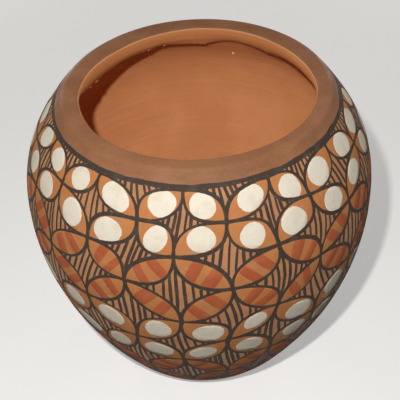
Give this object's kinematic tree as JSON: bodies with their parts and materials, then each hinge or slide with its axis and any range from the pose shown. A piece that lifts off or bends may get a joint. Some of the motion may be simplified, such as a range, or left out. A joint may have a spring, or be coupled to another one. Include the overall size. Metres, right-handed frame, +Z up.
{
  "type": "pueblo pottery jar",
  "caption": "Round-bellied coil-built clay jar with a wide mouth, a bevelled, flat-topped slipped rim with a rolled inner lip, and a painted geometric outside, for storage or display.",
  "frame": {"origin": "centre of the flat underside, on the table", "axes": "+Z up along the jar's axis, out of the mouth; -Y towards the viewer of the picture"},
  "size_m": [0.182, 0.182, 0.1708],
  "materials": {
    "fired_clay": "matte scraped clay",
    "orange_slip": "matte slip with painted geometric pattern",
    "brown_slip": "matte slip"
  },
  "bodies": {
    "root": {"base": "fired_clay", "wall_coil_1": "fired_clay", "wall_coil_2": "fired_clay", "wall_coil_3": "fired_clay", "wall_coil_4": "fired_clay", "wall_coil_5": "fired_clay", "wall_coil_6": "fired_clay", "wall_coil_7": "fired_clay", "wall_coil_8": "fired_clay", "rim_coil": "fired_clay", "body_slip": "orange_slip", "rim_slip": "brown_slip"}
  },
  "joints": []
}
